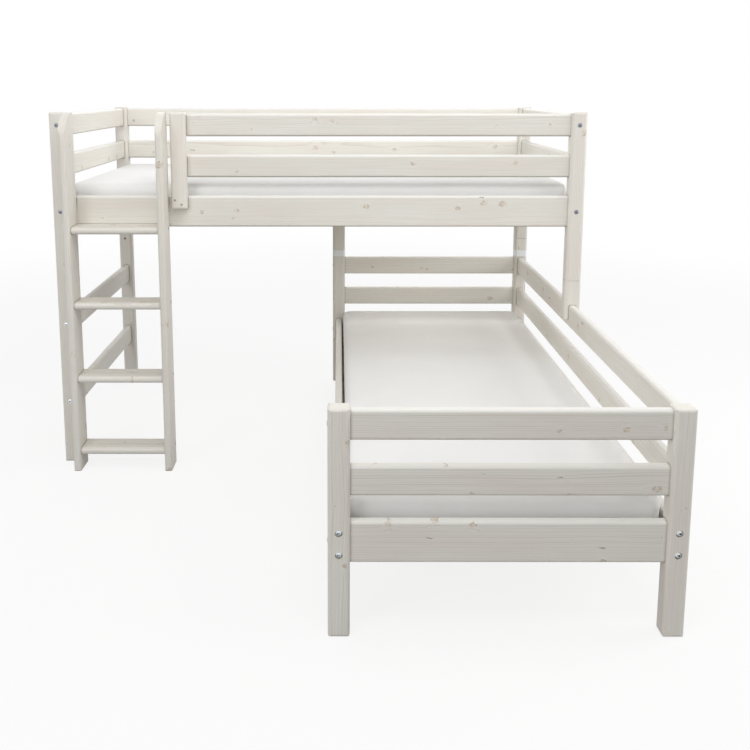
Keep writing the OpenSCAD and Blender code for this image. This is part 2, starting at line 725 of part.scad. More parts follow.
module connector(x, y) {
    color(plastic) difference() {
        translate([x, y, low_h]) linear_extrude(connector_h) rounded([post_w, post_d], post_r);
        pin_bores();
    }
}

module rear_right_connector() { connector(right_x - post_w, rear_y - post_d); }
module rear_middle_connector() { connector(low_x, rear_y - post_d); }

module joining_pins() {
    color(steel) for (p = PINS) translate([p[0], p[1], p[2]]) cylinder(d = pin_d, h = p[3] - p[2]);
}

// ---------------------------------------------------------------- ladder

// Side view of a stringer: a big quarter round at the front top corner, small
// rounds elsewhere, and a slanting relief in the back edge behind step 1.
module stringer_side() {
    r = stringer_corner_r;
    difference() {
        union() {
            translate([0, r]) square([stringer_d, high_h - r - stringer_top_r]);
            translate([r, 0]) square([stringer_d - 2 * r, high_h - stringer_top_r]);
            translate([stringer_top_r, 0]) square([stringer_d - stringer_top_r - r, high_h]);
            translate([stringer_d - r - eps, r]) square([r + eps, high_h - 2 * r]);
            translate([stringer_top_r, high_h - stringer_top_r]) circle(stringer_top_r, $fn = 96);
            translate([r, r]) circle(r);
            translate([stringer_d - r, r]) circle(r);
            translate([stringer_d - r, high_h - r]) circle(r);
        }
        polygon([[stringer_d + 1, relief_top], [stringer_d, relief_top],
            [stringer_d - relief_d, relief_top - relief_h],
            [stringer_d, relief_top - relief_h - relief_tail],
            [stringer_d + 1, relief_top - relief_h - relief_tail]]);
    }
}

module stringer(x) {
    color(wood) difference() {
        intersection() {
            translate([x, ladder_front, 0]) rotate([90, 0, 90]) linear_extrude(stringer_t) stringer_side();
            translate([x, ladder_front, -1]) linear_extrude(high_h + 2)
                rounded([stringer_t, stringer_d], stringer_r);
        }
        for (e = STEP_ENDS) if (abs(e[0] - x - stringer_t / 2) < stringer_t) {
            step_screw_bore(e);
            step_dowel_bore(e);
        }
        mount_screw_bores();
    }
}

module ladder_left_stringer() { stringer(ladder_x[0]); }
module ladder_right_stringer() { stringer(ladder_x[1] - stringer_t); }

function step_screw_at(e) = [e[0], ladder_front + step_screw_in, step_z(e[1]) - step_t / 2];
function step_dowel_at(e) = [e[0], ladder_front + step_dowel_in, step_z(e[1]) - step_t / 2]
    + (stringer_t - step_dowel_stringer) * e[2][0];

module step_screw_bore(e) {
    p = step_screw_at(e);
    rod(p - e[2][0], e[2], step_head_d + 2 * fit, step_head_h + step_sink + 1);
    rod(p, e[2], step_screw_d + 2 * fit, step_screw_l + 0.5);
}

module step_dowel_bore(e) {
    rod(step_dowel_at(e), e[2], dowel_d + fit, step_dowel_l + 1);
}

// Side view of a step: a rounded nose and three shallow grip grooves. The nose
// stays a little flat at its front, however thin the step is.
module step_side() {
    r = min(step_nose_r, step_t / 2 - 1);
    difference() {
        union() {
            translate([r, 0]) square([ladder_back - step_y - r, step_t]);
            translate([0, r]) square([r + eps, step_t - 2 * r]);
            for (z = [r, step_t - r]) translate([r, z]) circle(r);
        }
        for (k = [0:2]) translate([groove_first + groove_pitch * k, step_t]) circle(d = groove_d, $fn = 24);
    }
}

// A step with screw and dowel holes in its ends.
module ladder_step(i) {
    x0 = ladder_x[0] + stringer_t;
    x1 = ladder_x[1] - stringer_t;
    color(wood) difference() {
        translate([x0, step_y, step_z(i) - step_t]) rotate([90, 0, 90]) linear_extrude(x1 - x0) step_side();
        for (e = STEP_ENDS) if (e[1] == i) {
            step_screw_bore(e);
            step_dowel_bore(e);
        }
    }
}

module ladder_step_1() { ladder_step(1); }
module ladder_step_2() { ladder_step(2); }
module ladder_step_3() { ladder_step(3); }
module ladder_step_4() { ladder_step(4); }

MOUNT_SCREWS = [for (x = [ladder_x[0] + stringer_t / 2, ladder_x[1] - stringer_t / 2])
    [x, front_rail_y + board_t, mount_screw_z]];
mount_screw_grip = 46;
mount_screw_l = board_t + mount_screw_grip;
module mount_screw_bores() {
    for (p = MOUNT_SCREWS) {
        rod(p - TO_FRONT[0], TO_FRONT, step_head_d + 2 * fit, step_head_h + step_sink + 1);
        rod(p, TO_FRONT, step_screw_d + 2 * fit, mount_screw_l + 0.5);
    }
}

// ---------------------------------------------------------------- fasteners

// A domed head with a hexagonal recess, its crown at z = 0 and its rim at z = dome.
module socket_head(d, h, key) {
    dome = head_dome * h;
    r = (d * d / 4 + dome * dome) / (2 * dome);
    difference() {
        intersection() {
            cylinder(d = d, h = h);
            translate([0, 0, r]) sphere(r);
        }
        translate([0, 0, -1]) cylinder(d = key, h = 1 + key_share * h, $fn = 6);
    }
}

// A bed bolt, its head at p and its end just past the barrel nut.
module bed_bolt(b, head_at) {
    l = b[2] + nut_in + nut_d / 2 + bolt_tail;
    translate(b[0] + head_at * b[1][0]) rotate(b[1][1]) {
        socket_head(head_d, head_h, bolt_key);
        translate([0, 0, head_h - eps]) cylinder(d = bolt_d, h = l - head_at - head_h + eps);
    }
}

module gable_bolts() {
    color(steel) for (b = PROUD_BOLTS) bed_bolt(b, -head_proud);
}

module rail_bolts() {
    color(steel) for (b = SUNK_BOLTS) bed_bolt(b, sink_depth - head_h);
}

module barrel_nuts() {
    color(steel) for (b = concat(SUNK_BOLTS, PROUD_BOLTS)) difference() {
        rod(nut_at(b), b[3], nut_d, nut_l);
        rod(b[0], b[1], bolt_d + 2 * fit, b[2] + nut_in + nut_d);
    }
}

module dowels() {
    color(wood_shade) {
        for (d = DOWELS) rod(d[0] - dowel_post * d[1][0], d[1], dowel_d, dowel_post + dowel_board);
        for (e = STEP_ENDS) rod(step_dowel_at(e) + 0.5 * e[2][0], e[2], dowel_d, step_dowel_l);
    }
}

module step_screw(p, dir, l) {
    translate(p + step_sink * dir[0]) rotate(dir[1]) {
        socket_head(step_head_d, step_head_h, step_key);
        translate([0, 0, step_head_h - eps])
            cylinder(d = step_screw_d, h = l - step_sink - step_head_h + eps);
    }
}

module ladder_screws() {
    color(steel) {
        for (e = STEP_ENDS) step_screw(step_screw_at(e), e[2], step_screw_l);
        for (p = MOUNT_SCREWS) step_screw(p, TO_FRONT, mount_screw_l);
    }
}

module stile_screws() {
    color(steel) for (s = STILE_SCREWS) screw(s[0], s[1], stile_screw_l, stile_sink);
}

module base_screws() {
    color(steel) {
        for (p = concat(LOW_BASE_SCREWS, HIGH_BASE_SCREWS)) screw(p, DOWN, base_screw_l, screw_sink);
        for (p = LAP_SCREWS) screw(p, TO_FRONT, lap_screw_l, screw_sink);
    }
}

low_foot_left_post();
low_foot_right_post();
low_head_left_post();
low_head_right_post();
low_foot_top_slat();
low_foot_middle_slat();
low_foot_board();
low_head_top_slat();
low_head_middle_slat();
low_head_board();
low_left_side_rail();
low_right_side_rail();
low_back_top_rail();
low_back_middle_rail();
low_left_cleat();
low_right_cleat();
low_base_slats();
low_mattress();
high_left_front_post();
high_left_rear_post();
high_right_front_post();
high_right_rear_post();
high_left_top_slat();
high_left_middle_slat();
high_left_board();
high_left_upper_brace();
high_left_lower_brace();
high_right_top_slat();
high_right_middle_slat();
high_right_board();
high_front_side_rail();
high_rear_side_rail();
high_front_cleat();
high_rear_cleat();
high_base_slats();
high_mattress();
guard_front_top_slat();
guard_front_lower_slat();
guard_stile();
guard_rear_top_slat();
guard_rear_lower_slat();
saddle_leg();
rear_right_extension();
rear_middle_leg();
rear_right_connector();
rear_middle_connector();
ladder_left_stringer();
ladder_right_stringer();
ladder_step_1();
ladder_step_2();
ladder_step_3();
ladder_step_4();
gable_bolts();
rail_bolts();
barrel_nuts();
dowels();
joining_pins();
ladder_screws();
stile_screws();
base_screws();
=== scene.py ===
import math
import random

import bmesh
import bpy
from mathutils import Euler, Matrix, Vector
from mathutils.bvhtree import BVHTree


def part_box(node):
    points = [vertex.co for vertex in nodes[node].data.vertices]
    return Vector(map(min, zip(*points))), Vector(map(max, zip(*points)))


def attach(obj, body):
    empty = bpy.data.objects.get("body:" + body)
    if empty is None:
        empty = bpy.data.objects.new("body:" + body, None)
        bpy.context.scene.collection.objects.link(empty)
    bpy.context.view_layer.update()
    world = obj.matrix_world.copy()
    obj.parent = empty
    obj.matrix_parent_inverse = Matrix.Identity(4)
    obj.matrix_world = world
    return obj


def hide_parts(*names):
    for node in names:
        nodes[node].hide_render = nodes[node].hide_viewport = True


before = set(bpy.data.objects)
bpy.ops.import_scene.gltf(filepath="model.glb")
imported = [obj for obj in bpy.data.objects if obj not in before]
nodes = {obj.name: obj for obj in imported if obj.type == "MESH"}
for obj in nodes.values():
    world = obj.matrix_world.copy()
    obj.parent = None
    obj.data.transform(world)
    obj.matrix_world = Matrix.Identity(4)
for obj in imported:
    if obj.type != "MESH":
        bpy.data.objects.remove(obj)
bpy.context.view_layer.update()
scene = bpy.context.scene

# ---------------------------------------------------------------- viewpoint
# The camera stands at eye height in front of the low bed's foot end, square
# to it, and looks slightly down. The lens is shifted down as well, which keeps
# the posts nearly upright in the picture, as in the photograph.
look_down, turn_left = 8.34, 0.1
eye = bpy.data.objects.new("camera", bpy.data.cameras.new("camera"))
scene.collection.objects.link(eye)
eye.location = (0.0812, -3.1477, 1.5197)
eye.rotation_euler = (math.radians(90 - look_down), 0, math.radians(turn_left))
eye.data.sensor_width = 36
eye.data.lens = 39.28
eye.data.shift_x = 0.05
eye.data.shift_y = -0.22
scene.camera = eye

# ---------------------------------------------------------------- posts
# Four square posts for each bed, planed from solid pine, with every edge
# rounded over. They are wiped with a thin white wash, so that growth rings
# and knots still show through, and finished with a satin clear coat.


def linear(code):
    """The linear colour of an sRGB hex value."""
    parts = [int(code[i : i + 2], 16) / 255 for i in (1, 3, 5)]
    return [p / 12.92 if p <= 0.04045 else ((p + 0.055) / 1.055) ** 2.4 for p in parts] + [1.0]


def add(tree, kind, settings=None, sockets=None, stops=None):
    """Adds a shader node with its settings; a socket takes a value, or an output to be linked from."""
    made = tree.nodes.new("ShaderNode" + kind)
    for key, value in (settings or {}).items():
        setattr(made, key, value)
    for key, value in (sockets or {}).items():
        if isinstance(value, bpy.types.NodeSocket):
            tree.links.new(value, made.inputs[key])
        else:
            made.inputs[key].default_value = value
    for i, (place, colour) in enumerate(stops or ()):
        ramp = made.color_ramp.elements
        stop = ramp[i] if i < len(ramp) else ramp.new(place)
        stop.position = place
        stop.color = colour if isinstance(colour, list) else (colour, colour, colour, 1)
    return made


def material(name):
    """A new material: its node tree and its surface shader."""
    made = bpy.data.materials.new(name)
    made.use_nodes = True
    return made, made.node_tree, made.node_tree.nodes["Principled BSDF"]


def log_place(tree, chance, middle, along, across):
    """A point's place from the middle of its board, X across the board's face, Y through it and Z
    along it, and its place in the log, whose heart lies 42 to 130 mm away from that middle."""
    order = (across, 3 - along - across, along)
    place = add(tree, "TexCoord")
    apart = add(tree, "SeparateXYZ", None, {0: place.outputs["Object"]})
    board_at = add(tree, "CombineXYZ", None, {i: apart.outputs[k] for i, k in enumerate(order)})
    centred = add(tree, "VectorMath", {"operation": "SUBTRACT"},
                  {0: board_at.outputs[0], 1: tuple(middle[k] for k in order)})
    heart = (chance.choice((-1, 1)) * chance.uniform(0.03, 0.11),
             chance.choice((-1, 1)) * chance.uniform(0.03, 0.07), chance.uniform(2, 40))
    log_at = add(tree, "VectorMath", {"operation": "ADD"}, {0: centred.outputs[0], 1: heart})
    return centred.outputs[0], log_at.outputs[0]


def heart_distance(tree, log_at):
    """How far a point lies from the heart of the log, as the rings count it: they wander by up to
    8 mm over the length of the board."""
    slow = add(tree, "VectorMath", {"operation": "MULTIPLY"}, {0: log_at, 1: (5.0, 5.0, 1.1)})
    wander = add(tree, "TexNoise", None, {"Vector": slow.outputs[0], "Scale": 1.0, "Detail": 3.0})
    wander_mid = add(tree, "VectorMath", {"operation": "SUBTRACT"},
                     {0: wander.outputs["Color"], 1: (0.5, 0.5, 0.5)})
    wander_by = add(tree, "VectorMath", {"operation": "MULTIPLY"},
                    {0: wander_mid.outputs[0], 1: (0.032, 0.032, 0)})
    bent = add(tree, "VectorMath", {"operation": "ADD"}, {0: log_at, 1: wander_by.outputs[0]})
    bent_flat = add(tree, "VectorMath", {"operation": "MULTIPLY"}, {0: bent.outputs[0], 1: (1, 1, 0)})
    return add(tree, "VectorMath", {"operation": "LENGTH"}, {0: bent_flat.outputs[0]}).outputs["Value"]


def knot_field(tree, chance, centred, split):
    """Knots are branches through the board's thickness, one in a field of 120 mm at most, up to
    20 mm across, ragged, and longer along the grain. Gives a point's place in the plane that they
    are strewn over, and how many of its radii the nearest knot is away."""
    field = 0.12
    ragged = add(tree, "TexNoise", None, {"Vector": centred, "Scale": 95.0, "Detail": 3.0})
    ragged_apart = add(tree, "SeparateColor", None, {0: ragged.outputs["Color"]})
    off = [add(tree, "MapRange", None, {"Value": ragged_apart.outputs[k], "From Min": 0.25,
                                        "From Max": 0.75, "To Min": -0.004, "To Max": 0.004})
           for k in (0, 1)]
    side_at = add(tree, "Math", {"operation": "ADD"}, {0: split[0], 1: off[0].outputs[0]})
    length_at = add(tree, "Math", {"operation": "MULTIPLY_ADD"},
                    {0: split[2], 1: 0.75, 2: off[1].outputs[0]})
    knot_at = add(tree, "CombineXYZ", None, {0: side_at.outputs[0], 1: length_at.outputs[0]})
    strewn = add(tree, "VectorMath", {"operation": "ADD"},
                 {0: knot_at.outputs[0], 1: (chance.uniform(0, 9), chance.uniform(0, 9), 0)})
    cell = add(tree, "TexVoronoi", {"voronoi_dimensions": "2D"},
               {"Vector": strewn.outputs[0], "Scale": 1 / field})
    dice = add(tree, "SeparateColor", None, {0: cell.outputs["Color"]})
    knot_r = add(tree, "MapRange", None, {"Value": dice.outputs[0], "From Min": 0.25, "From Max": 1.0,
                                          "To Min": 0.0006 / field, "To Max": 0.0095 / field})
    radii = add(tree, "Math", {"operation": "DIVIDE"}, {0: cell.outputs["Distance"], 1: knot_r.outputs[0]})
    return strewn.outputs[0], radii.outputs[0]


def knot_wood(tree, log_at, radii):
    """The wood of a knot itself. The wash hides part of it."""
    core = add(tree, "MapRange", {"interpolation_type": "SMOOTHSTEP"},
               {"Value": radii, "From Min": 0.6, "From Max": 1.3, "To Min": 1.0, "To Max": 0.0})
    veil = add(tree, "TexNoise", None, {"Vector": log_at, "Scale": 130.0, "Detail": 2.0})
    veil_on = add(tree, "MapRange", {"interpolation_type": "SMOOTHSTEP"},
                  {"Value": veil.outputs[0], "From Min": 0.38, "From Max": 0.62,
                   "To Min": 0.15, "To Max": 0.85})
    return add(tree, "Math", {"operation": "MULTIPLY"},
               {0: core.outputs[0], 1: veil_on.outputs[0]}).outputs[0]


def knot_bark(tree, log_at, radii):
    """The bark round a knot, which shows as broken dark strokes."""
    ramp = add(tree, "Math", {"operation": "MULTIPLY"}, {0: radii, 1: 0.5})
    stroke = add(tree, "ValToRGB", None, {0: ramp.outputs[0]},
                 [(0.0, 0.5), (0.14, 0.15), (0.3, 0.2), (0.44, 1.0), (0.56, 0.25), (0.75, 0.0)])
    gaps = add(tree, "TexNoise", None, {"Vector": log_at, "Scale": 110.0, "Detail": 1.0})
    gaps_on = add(tree, "MapRange", {"interpolation_type": "SMOOTHSTEP"},
                  {"Value": gaps.outputs[0], "From Min": 0.42, "From Max": 0.6,
                   "To Min": 0.05, "To Max": 0.75})
    return add(tree, "Math", {"operation": "MULTIPLY"},
               {0: stroke.outputs[0], 1: gaps_on.outputs[0]}).outputs[0]


def resin_slits(tree, strewn):
    """Thin dark dashes along the grain, 15 to 25 mm long."""
    slit_at = add(tree, "VectorMath", {"operation": "MULTIPLY"}, {0: strewn, 1: (1.0, 0.22, 1.0)})
    cell = add(tree, "TexVoronoi", {"voronoi_dimensions": "2D"},
               {"Vector": slit_at.outputs[0], "Scale": 13.0})
    dice = add(tree, "SeparateColor", None, {0: cell.outputs["Color"]})
    slit_r = add(tree, "MapRange", None, {"Value": dice.outputs[1], "From Min": 0.62, "From Max": 1.0,
                                          "To Min": 0.0001, "To Max": 0.036})
    slit_d = add(tree, "Math", {"operation": "DIVIDE"}, {0: cell.outputs["Distance"], 1: slit_r.outputs[0]})
    return add(tree, "MapRange", {"interpolation_type": "SMOOTHSTEP"},
               {"Value": slit_d.outputs[0], "From Min": 0.5, "From Max": 1.15,
                "To Min": 0.9, "To Max": 0.0}).outputs[0]


def growth_rings(tree, radius, radii, ring):
    """Pale early wood, then a narrow darker line of late wood, one ring after the other and each
    ring wide. They swell by up to 11 mm round a knot, and some years show more than others."""
    swell = add(tree, "MapRange", {"interpolation_type": "SMOOTHSTEP"},
                {"Value": radii, "From Max": 4.5, "To Min": 0.011, "To Max": 0.0})
    swollen = add(tree, "Math", {"operation": "ADD"}, {0: radius, 1: swell.outputs[0]})
    turns = add(tree, "Math", {"operation": "DIVIDE"}, {0: swollen.outputs[0], 1: ring})
    year = add(tree, "Math", {"operation": "FRACT"}, {0: turns.outputs[0]})
    late = add(tree, "ValToRGB", None, {0: year.outputs[0]},
               [(0.0, 0.0), (0.45, 0.06), (0.72, 0.6), (0.84, 1.0), (0.93, 0.2), (1.0, 0.0)])
    climate = add(tree, "TexNoise", {"noise_dimensions": "1D"},
                  {"W": turns.outputs[0], "Scale": 0.6, "Detail": 1.0})
    climate_on = add(tree, "MapRange", None, {"Value": climate.outputs[0], "From Min": 0.34,
                                              "From Max": 0.66, "To Min": 0.2, "To Max": 1.0})
    return add(tree, "Math", {"operation": "MULTIPLY"},
               {0: late.outputs[0], 1: climate_on.outputs[0]}).outputs[0]


def white_wash(tree, log_at, split, half, grain, crest):
    """The wash over the grain: thicker and thinner in soft patches 80 mm across, and rubbed a
    little thinner along the rounded edges. With a crest, the rounding of the top edge is painted
    paler, a painted highlight, and the lowest 5 mm darker, a painted shade."""
    patch_at = add(tree, "VectorMath", {"operation": "MULTIPLY"}, {0: log_at, 1: (13, 13, 2.2)})
    patch = add(tree, "TexNoise", None, {"Vector": patch_at.outputs[0], "Scale": 1.0, "Detail": 3.0})
    patch_tone = add(tree, "ValToRGB", None, {0: patch.outputs[0]},
                     [(0.34, linear("#f2f0e9")), (0.5, linear("#f0ede5")), (0.66, linear("#efe9e1"))])
    beside, above = (add(tree, "Math", {"operation": "ABSOLUTE"}, {0: split[k]}) for k in (0, 1))
    edge = [add(tree, "MapRange", {"interpolation_type": "SMOOTHSTEP"},
                {"Value": away.outputs[0], "From Min": side - 0.009, "From Max": side - 0.001})
            for away, side in zip((beside, above), half)]
    rubbed = add(tree, "Math", {"operation": "MULTIPLY"}, {0: edge[0].outputs[0], 1: edge[1].outputs[0]})
    bare = add(tree, "Math", {"operation": "MULTIPLY_ADD", "use_clamp": True},
               {0: rubbed.outputs[0], 1: 0.08, 2: grain})
    washed = add(tree, "MixRGB", None,
                 {0: bare.outputs[0], 1: patch_tone.outputs[0], 2: linear("#d0c9bc")})
    # Painted highlight: the top edge's rounding is mixed toward a paler tone, as where light falls on it.
    if crest:
        crest_at = half[0] - crest
        thick = add(tree, "MapRange", None, {"Value": split[0], "From Min": crest_at - 0.0005,
                                             "From Max": crest_at + 0.0005, "To Min": 0.0, "To Max": 0.7})
        highlit_top = add(tree, "MixRGB", None,
                     {0: thick.outputs[0], 1: washed.outputs[0], 2: linear("#f6f4ef")})
        # Painted shade: the lowest 5 mm are mixed toward a dark brown, as where the underside is in shadow.
        underside_shade = add(tree, "MapRange", None, {"Value": split[0], "From Min": 0.001 - half[0],
                                            "From Max": 0.0055 - half[0], "To Min": 0.8, "To Max": 0.0})
        washed = add(tree, "MixRGB", None, {0: underside_shade.outputs[0], 1: highlit_top.outputs[0], 2: linear("#94866f")})
    return washed.outputs[0]


def whitewashed_pine(board, along, across, crest=0.0, lines=0.42):
    """White-washed solid pine for one board. The rings are cut at a slant, so that the faces show
    lines 5 to 15 mm apart, which bend round small brownish knots; the wash leaves them faint.
    Along and across are the axes of the board's length and of its face's width. A board's top
    edge, shaped by a cutter of radius crest, gets a painted highlight on its rounding, and its
    lowest 5 mm get a painted shade. Lines is how strongly the rings show."""
    made, tree, surface = material("whitewashed_pine." + board)
    chance = random.Random(board)
    low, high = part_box(board)
    half = [(high[k] - low[k]) / 2 for k in (across, 3 - along - across)]
    centred, log_at = log_place(tree, chance, (low + high) / 2, along, across)
    split = add(tree, "SeparateXYZ", None, {0: centred}).outputs
    strewn, radii = knot_field(tree, chance, centred, split)
    rings = growth_rings(tree, heart_distance(tree, log_at), radii, chance.uniform(0.0040, 0.0060))
    shade = 1 - chance.uniform(0.0, 0.03)

    # Fibres 1.3 mm wide, the finest that show, and 100 mm long.
    fine = add(tree, "VectorMath", {"operation": "MULTIPLY"}, {0: log_at, 1: (760, 760, 10)})
    fibre = add(tree, "TexNoise", None, {"Vector": fine.outputs[0], "Scale": 1.0, "Detail": 3.0})
    fibre_on = add(tree, "MapRange", None, {"Value": fibre.outputs[0], "From Min": 0.3, "From Max": 0.7,
                                            "To Min": 0.0, "To Max": 0.24})
    grain = add(tree, "Math", {"operation": "MULTIPLY_ADD"}, {0: rings, 1: lines, 2: fibre_on.outputs[0]})

    washed = white_wash(tree, log_at, split, half, grain.outputs[0], crest)
    knotted = add(tree, "MixRGB", None,
                  {0: knot_wood(tree, log_at, radii), 1: washed, 2: linear("#dccdb9")})
    bark = knot_bark(tree, log_at, radii)
    barked = add(tree, "MixRGB", None, {0: bark, 1: knotted.outputs[0], 2: linear("#a89176")})
    slitted = add(tree, "MixRGB", None,
                  {0: resin_slits(tree, strewn), 1: barked.outputs[0], 2: linear("#8d8774")})
    toned = add(tree, "MixRGB", {"blend_type": "MULTIPLY"},
                {0: 1.0, 1: slitted.outputs[0], 2: (shade, shade, shade, 1)})
    # Painted shade and old wash: an occlusion mask darkens joints, holes and grooves up to 7 mm
    # wide, partly for the shadow that falls in them and partly for old wash gathered there.
    closed = add(tree, "AmbientOcclusion", {"samples": 4}, {"Distance": 0.007})
    joint_shade_and_wash = add(tree, "MapRange", None, {"Value": closed.outputs["AO"], "From Min": 0.3, "From Max": 0.95,
                                          "To Min": 0.8, "To Max": 0.0})
    joined = add(tree, "MixRGB", None, {0: joint_shade_and_wash.outputs[0], 1: toned.outputs[0], 2: linear("#7e7565")})
    tree.links.new(joined.outputs[0], surface.inputs["Base Color"])

    gloss = add(tree, "MapRange", None, {"Value": fibre.outputs[0], "From Min": 0.3, "From Max": 0.7,
                                         "To Min": 0.42, "To Max": 0.56})
    tree.links.new(gloss.outputs[0], surface.inputs["Roughness"])
    relief = add(tree, "Math", {"operation": "ADD"}, {0: grain.outputs[0], 1: bark})
    bump = add(tree, "Bump", None, {"Strength": 0.35, "Distance": 0.0004, "Height": relief.outputs[0]})
    tree.links.new(bump.outputs[0], surface.inputs["Normal"])
    return made


def finish(piece, look):
    """Gives a piece its look."""
    piece.data.materials.clear()
    piece.data.materials.append(look)


X, Y, Z = 0, 1, 2
for post in ("low_foot_left_post", "low_foot_right_post", "low_head_left_post", "low_head_right_post",
             "high_left_front_post", "high_left_rear_post",
             "high_right_front_post", "high_right_rear_post"):
    finish(nodes[post], whitewashed_pine(post, Z, X))

# ---------------------------------------------------------------- gables and slats
# The ends of the beds: two slats and a wider board between each pair of
# posts, doweled and bolted, with two braces low down in the tall left gable.
# The foot gable's rings show more than the others'.
# The radius of the boards' rounded edges. Given as crest, it also paints a highlight on their top edges and
# a shade on their undersides.
edge_cutter = 0.009
for board in ("low_foot_top_slat", "low_foot_middle_slat", "low_foot_board"):
    finish(nodes[board], whitewashed_pine(board, X, Z, edge_cutter, lines=0.7))
for board in ("low_head_top_slat", "low_head_middle_slat", "low_head_board"):
    finish(nodes[board], whitewashed_pine(board, X, Z, edge_cutter))
for board in ("high_left_top_slat", "high_left_middle_slat", "high_left_board",
              "high_left_upper_brace", "high_left_lower_brace",
              "high_right_top_slat", "high_right_middle_slat", "high_right_board"):
    finish(nodes[board], whitewashed_pine(board, Y, Z, edge_cutter))

# ---------------------------------------------------------------- rails
# Long planed boards that join the gables: side rails at mattress height, and
# two more along the low bed's back, all with the same rounded edges.
for board in ("low_left_side_rail", "low_right_side_rail", "low_back_top_rail", "low_back_middle_rail"):
    finish(nodes[board], whitewashed_pine(board, Y, Z, edge_cutter))
for board in ("high_front_side_rail", "high_rear_side_rail"):
    finish(nodes[board], whitewashed_pine(board, X, Z, edge_cutter))

# ---------------------------------------------------------------- guard
# Guard slats on both long sides of the high bed. The front pair stops short
# of the ladder at an upright stile, screwed to the slats from behind and to
# the side rail from the front.
for board in ("guard_front_top_slat", "guard_front_lower_slat",
              "guard_rear_top_slat", "guard_rear_lower_slat"):
    finish(nodes[board], whitewashed_pine(board, X, Z, edge_cutter))
finish(nodes["guard_stile"], whitewashed_pine("guard_stile", Z, X))

# ---------------------------------------------------------------- legs between the beds
# Short pieces of post that carry the high bed on the low one, pinned end to
# end; the front one straddles the low bed's top back rail.
for post in ("saddle_leg", "rear_right_extension", "rear_middle_leg"):
    finish(nodes[post], whitewashed_pine(post, Z, X))

# ---------------------------------------------------------------- ladder
# Two planed stringers with a big rounding at the top, and four steps with
# grip grooves that are doweled and screwed between them.
for board in ("ladder_left_stringer", "ladder_right_stringer"):
    finish(nodes[board], whitewashed_pine(board, Z, Y))
for board in ("ladder_step_1", "ladder_step_2", "ladder_step_3", "ladder_step_4"):
    finish(nodes[board], whitewashed_pine(board, X, Y))

# ---------------------------------------------------------------- connectors
# Moulded collars between stacked posts, matt, and cooler in colour than the
# wood.


def moulded_abs():
    """White ABS with a fine mould texture."""
    made, tree, surface = material("moulded_abs")
    place = add(tree, "TexCoord")
    spark = add(tree, "TexNoise", None, {"Vector": place.outputs["Object"], "Scale": 900.0, "Detail": 2.0})
    cloud = add(tree, "TexNoise", None, {"Vector": place.outputs["Object"], "Scale": 28.0, "Detail": 2.0})
    tone = add(tree, "ValToRGB", None, {0: cloud.outputs[0]},
               [(0.3, linear("#f4f7f9")), (0.7, linear("#fafcfd"))])
    tree.links.new(tone.outputs[0], surface.inputs["Base Color"])
    surface.inputs["Roughness"].default_value = 0.5
    grit = add(tree, "Bump", None, {"Strength": 0.3, "Distance": 0.0002, "Height": spark.outputs[0]})
    tree.links.new(grit.outputs[0], surface.inputs["Normal"])
    return made


collar = moulded_abs()
for part in ("rear_right_connector", "rear_middle_connector"):
    finish(nodes[part], collar)

# ---------------------------------------------------------------- bases
# Planed, untreated pine slats screwed on cleats along the side rails. Each
# slat comes from its own tree, so its rings and tone differ from the next.


def plain_pine(name, along, across, pitch, first):
    """Untreated planed pine. Pieces whose middles lie pitch apart, from first on, get grain of
    their own."""
    made, tree, surface = material("plain_pine." + name)
    place = add(tree, "TexCoord")
    apart = add(tree, "SeparateXYZ", None, {0: place.outputs["Object"]})
    counted = add(tree, "Math", {"operation": "SUBTRACT"}, {0: apart.outputs[across], 1: first - pitch / 2})
    shares = add(tree, "Math", {"operation": "DIVIDE"}, {0: counted.outputs[0], 1: pitch})
    number = add(tree, "Math", {"operation": "FLOOR"}, {0: shares.outputs[0]})
    within = add(tree, "Math", {"operation": "FRACT"}, {0: shares.outputs[0]})
    across_at = add(tree, "Math", {"operation": "MULTIPLY"}, {0: within.outputs[0], 1: pitch})
    # Each next piece is cut 3.7 m further along the trunk.
    along_at = add(tree, "Math", {"operation": "MULTIPLY_ADD"},
                   {0: number.outputs[0], 1: 3.7, 2: apart.outputs[along]})
    tree_at = add(tree, "CombineXYZ", None,
                  {0: across_at.outputs[0], 1: apart.outputs[3 - along - across], 2: along_at.outputs[0]})
    slow = add(tree, "VectorMath", {"operation": "MULTIPLY"}, {0: tree_at.outputs[0], 1: (6.0, 6.0, 1.0)})
    wander = add(tree, "TexNoise", None, {"Vector": slow.outputs[0], "Scale": 1.0, "Detail": 2.0})
    rings = add(tree, "Math", {"operation": "MULTIPLY_ADD"},
                {0: wander.outputs[0], 1: 0.05, 2: across_at.outputs[0]})
    # Rings 4 mm wide, fibres 1.3 mm.
    turns = add(tree, "Math", {"operation": "DIVIDE"}, {0: rings.outputs[0], 1: 0.004})
    year = add(tree, "Math", {"operation": "FRACT"}, {0: turns.outputs[0]})
    late = add(tree, "ValToRGB", None, {0: year.outputs[0]},
               [(0.0, 0.1), (0.5, 0.2), (0.85, 1.0), (1.0, 0.1)])
    fine = add(tree, "VectorMath", {"operation": "MULTIPLY"}, {0: tree_at.outputs[0], 1: (760, 760, 10)})
    fibre = add(tree, "TexNoise", None, {"Vector": fine.outputs[0], "Scale": 1.0, "Detail": 3.0})
    grain = add(tree, "Math", {"operation": "MULTIPLY"}, {0: late.outputs[0], 1: fibre.outputs[0]})
    colour = add(tree, "ValToRGB", None, {0: grain.outputs[0]},
                 [(0.0, linear("#e9d9b8")), (0.7, linear("#cfae7c"))])
    tree.links.new(colour.outputs[0], surface.inputs["Base Color"])
    surface.inputs["Roughness"].default_value = 0.62
    bump = add(tree, "Bump", None, {"Strength": 0.3, "Distance": 0.0004, "Height": grain.outputs[0]})
    tree.links.new(bump.outputs[0], surface.inputs["Normal"])
    return made


